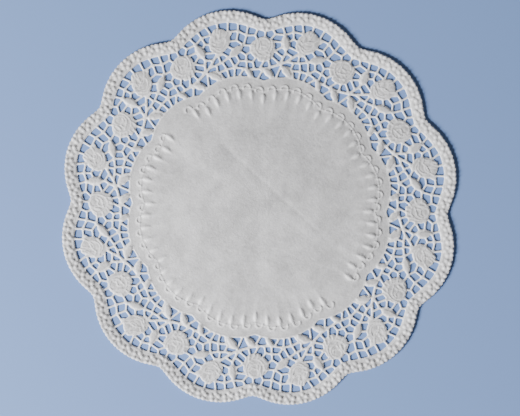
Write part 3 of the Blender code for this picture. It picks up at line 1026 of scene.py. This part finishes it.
def top_points(edges, table):
    """The points inside the sheet's outline: close together where the embossing is fine."""
    lines = np.vstack(
        [
            bar_lines(table),
            petal_lines(ROSE_STEP),
            hem_line(HEM_INSET),
            hem_line(HEM_INSET + HEM_WIDTH),
            thread_lines(),
            thread_lines(THREAD_WIDTH),
            thread_lines(-THREAD_WIDTH),
            rim_petals(),
            loop_lines(),
            loop_lines(LOOP_WIDTH),
            loop_lines(-LOOP_WIDTH),
            spindle_points(),
            *[crease_lines(wider * CREASE_WIDTH) for wider in CREASE_LINES],
        ]
    )
    chosen = thinned(lines, LINE_GAP)
    chosen = np.vstack([chosen, apart(rim_points(), chosen, RIM_GAP)])
    for ring, step, wanted in (
        (NET_RING, ROSE_STEP, in_roses),
        (NET_RING, NET_STEP, lambda p: ~in_roses(p) & (inside_rim(p) > RIM_INNER)),
        (STITCH_RING, STITCH_STEP, lambda p: (inside_field(p) < STITCH_DEPTH) & (inside_field(p) > 0)),
        (MIDDLE_RING, FIELD_STEP, lambda p: inside_field(p) > MIDDLE_DEPTH),
    ):
        points = hexagonal(*ring, step)
        points = points[wanted(points)]
        chosen = np.vstack([chosen, apart(points, chosen, RING_GAP * step)])
    return np.vstack([apart(chosen, edges, EDGE_GAP), MIDDLE_POINT])


def under_points(edges):
    """Fewer points for the underside, where the relief is shallower."""
    chosen = [hexagonal(*UNDER_FIELD_RING, UNDER_FIELD_STEP)]
    for ring, step, wanted in (
        (NET_RING, UNDER_ROSE_STEP, in_roses),
        (UNDER_RIM_RING, UNDER_RIM_STEP, lambda p: inside_rim(p) < RIM_INNER),
    ):
        points = hexagonal(*ring, step)
        chosen.append(points[wanted(points)])
    return np.vstack([apart(np.vstack(chosen), edges, UNDER_GAP), MIDDLE_POINT])


def inside_sheet(points, holes):
    """Which points are inside the outer edge and outside every hole."""
    angles, radii = polar_of(points)
    kept = radii < rim_edge(angles) - OUTER_GAP
    first = angles % REPEAT_ANGLE
    for shift in (-REPEAT_ANGLE, 0.0, REPEAT_ANGLE):
        turned = polar(first + shift, radii)
        for outline in holes:
            low, high = outline.min(axis=0), outline.max(axis=0)
            near = np.all((turned > low) & (turned < high), axis=1) & kept
            x, y = turned[near].T
            crossings = np.zeros(len(x), dtype=int)
            for (px, py), (qx, qy) in zip(outline, np.roll(outline, -1, axis=0)):
                if py != qy:
                    spans = (py > y) != (qy > y)
                    crossings += spans & (x < px + (qx - px) * (y - py) / (qy - py))
            kept[np.flatnonzero(near)[crossings % 2 == 1]] = False
    return kept


def triangles_between(loops, extras):
    """Points and triangles that fill the first loop, less the others, through the extra points."""
    points = np.vstack(loops + [extras])
    outlines, start = [], 0
    for loop in loops:
        outlines.append(list(range(start, start + len(loop))))
        start += len(loop)
    places, _edges, faces, origins, _from_edges, inside = delaunay_2d_cdt(
        [Vector(p) for p in points], [], outlines, 1, SAME_POINT
    )
    numbers = {old: new for new, olds in enumerate(origins) for old in olds}
    kept = [face for face, within in zip(faces, inside) if within == [0]]
    return np.array([tuple(p) for p in places]), [[numbers[i] for i in o] for o in outlines], kept


def sheet_mesh():
    """The doily's paper as one closed mesh, embossed upwards."""
    table, stems = junction_table(), stem_widths()
    repeat = [hole(cell, table, stems) for cell in CELLS]
    loops = [rim_outline()] + [turned for outline in repeat for turned in spun(outline)]
    edges = np.vstack([evenly(loop, EDGE_STEP) for loop in loops])
    sides, highlights_and_gloss = [], []
    for extras, share, above in (
        (under_points(edges), UNDERSIDE, 0.0),
        (top_points(edges, table), 1.0, PAPER),
    ):
        extras = extras[inside_sheet(extras, repeat)]
        places, outlines, faces = triangles_between(loops, extras)
        embossed, highlight_and_gloss = embossing(places, edges)
        height = share * embossed + lift(places) + above
        highlights_and_gloss.append(highlight_and_gloss)
        sides.append((np.column_stack([places, height]) * MM, outlines, faces))
    (under, under_lines, under_faces), (over, over_lines, over_faces) = sides
    count = len(under)
    faces = [tuple(reversed(f)) for f in under_faces]
    faces += [tuple(count + i for i in f) for f in over_faces]
    walls = []
    for number, (low, high) in enumerate(zip(under_lines, over_lines)):
        ahead = 1 if number == 0 else -1
        for k in range(len(low)):
            after = (k + ahead) % len(low)
            walls.append((low[k], low[after], count + high[after], count + high[k]))
    mesh = bpy.data.meshes.new("doily_paper")
    mesh.from_pydata(np.vstack([under, over]).tolist(), [], faces + walls)
    mesh.polygons.foreach_set("use_smooth", [True] * len(faces) + [False] * len(walls))
    mesh.update()
    # Each point's painted highlight, which also makes the paper glossier there
    painted_highlight = mesh.attributes.new(HIGHLIGHT_ATTRIBUTE, "FLOAT", "POINT")
    painted_highlight.data.foreach_set("value", np.concatenate(highlights_and_gloss))
    print("doily_paper has", len(faces) + 2 * len(walls), "triangles")
    return mesh


def colour(code):
    """A hex code as linear red, green, blue and alpha."""
    parts = [int(code[i : i + 2], 16) / 255 for i in (0, 2, 4)]
    linear = [c / 12.92 if c <= 0.04045 else ((c + 0.055) / 1.055) ** 2.4 for c in parts]
    return (*linear, 1.0)


def add(tree, kind, settings=(), links=()):
    """A shader node with its settings by socket or property name, and its inputs' links."""
    node = tree.nodes.new("ShaderNode" + kind)
    for name, value in dict(settings).items():
        if name in node.inputs:
            node.inputs[name].default_value = value
        else:
            setattr(node, name, value)
    for name, output in dict(links).items():
        tree.links.new(output, node.inputs[name])
    return node


def material(name, settings):
    """A new material, its node tree and its main shader."""
    made = bpy.data.materials.new(name)
    made.use_nodes = True
    shader = made.node_tree.nodes["Principled BSDF"]
    for socket, value in settings.items():
        shader.inputs[socket].default_value = value
    return made, made.node_tree, shader


def paper_material():
    """Bleached calendered paper: white and faintly cloudy, whiter still with painted highlight on
    raised parts and cut edges, with a fibrous satin surface.
    """
    made, tree, shader = material(
        "calendered_paper",
        {"Specular IOR Level": PAPER_SPECULAR, "Metallic": 0.0},
    )
    place = add(tree, "TexCoord").outputs["Object"]
    highlight_and_gloss = add(tree, "Attribute", {"attribute_name": HIGHLIGHT_ATTRIBUTE}).outputs["Fac"]

    # Clouds of denser pulp, from 30 mm across down to grains too small to see, and whiter where
    # painted highlight stands in for light on raised parts and cut edges
    cloud = add(tree, "TexNoise", CLOUDS, {"Vector": place})
    tone = add(tree, "ValToRGB", {}, {"Fac": cloud.outputs["Fac"]})
    shades = (PAPER_DARK, PAPER_LIGHT)
    for element, position, shade in zip(tone.color_ramp.elements, CLOUD_RANGE, shades):
        element.position = position
        element.color = colour(shade)
    white = add(tree, "Mix", {"data_type": "RGBA"}, {"Factor": highlight_and_gloss})
    tree.links.new(tone.outputs["Color"], white.inputs[MIX_FIRST])
    white.inputs[MIX_SECOND].default_value = colour(PAPER_HIGHLIGHT)
    tree.links.new(white.outputs[MIX_RESULT], shader.inputs["Base Color"])

    # Where the painted highlight is, the paper is also smoother
    ends = {"To Min": ROUGH_PAPER, "To Max": ROUGH_GLOSSY}
    rough = add(tree, "MapRange", ends, {"Value": highlight_and_gloss})
    tree.links.new(rough.outputs["Result"], shader.inputs["Roughness"])

    normal = {}
    for scale, detail, depth in GRAINS:
        settings = {"Scale": scale, "Detail": detail, "Roughness": GRAIN_ROUGHNESS}
        grain = add(tree, "TexNoise", settings, {"Vector": place})
        settings = {"Strength": 1.0, "Distance": depth * MM}
        bump = add(tree, "Bump", settings, {"Height": grain.outputs["Fac"]} | normal)
        normal = {"Normal": bump.outputs["Normal"]}
    tree.links.new(normal["Normal"], shader.inputs["Normal"])
    return made


def floor_material():
    """A smooth matt table top, pale blue."""
    made, _tree, _shader = material(
        "painted_table",
        {"Base Color": colour(TABLE_BLUE), "Roughness": 0.6, "Specular IOR Level": 0.3},
    )
    return made


def area_light(name, place, size, watts, tint):
    """A square soft light at a place, aimed at the doily's middle."""
    lamp = bpy.data.lights.new(name, "AREA")
    lamp.shape = "SQUARE"
    lamp.size = size
    lamp.energy = watts
    lamp.color = colour(tint)[:3]
    made = bpy.data.objects.new(name, lamp)
    made.location = place
    made.rotation_mode = "QUATERNION"
    made.rotation_quaternion = (-Vector(place)).to_track_quat("-Z", "Y")
    bpy.context.scene.collection.objects.link(made)


def set_camera():
    """Straight above, with +Y at the top of the picture."""
    data = bpy.data.cameras.new("camera")
    data.lens = LENS
    data.sensor_width = SENSOR
    made = bpy.data.objects.new("camera", data)
    made.location = (*VIEW_MIDDLE, VIEW_WIDTH * LENS / SENSOR)
    bpy.context.scene.collection.objects.link(made)
    bpy.context.scene.camera = made


def set_world():
    """Faint even light from all round."""
    world = bpy.data.worlds.new("studio")
    world.use_nodes = True
    background = world.node_tree.nodes["Background"]
    background.inputs["Color"].default_value = colour(ROOM_TINT)
    background.inputs["Strength"].default_value = ROOM_STRENGTH
    bpy.context.scene.world = world


doily = bpy.data.objects.new("doily_paper", sheet_mesh())
doily.data.materials.append(paper_material())
bpy.context.scene.collection.objects.link(doily)
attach(doily, "root")
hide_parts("doily")

bpy.ops.mesh.primitive_plane_add(size=FLOOR_SIZE, location=(0.0, 0.0, -FLOOR_DROP))
floor = bpy.context.active_object
floor.name = "table_top"
floor.data.materials.append(floor_material())

set_world()
for light in LIGHTS:
    area_light(*light)
set_camera()
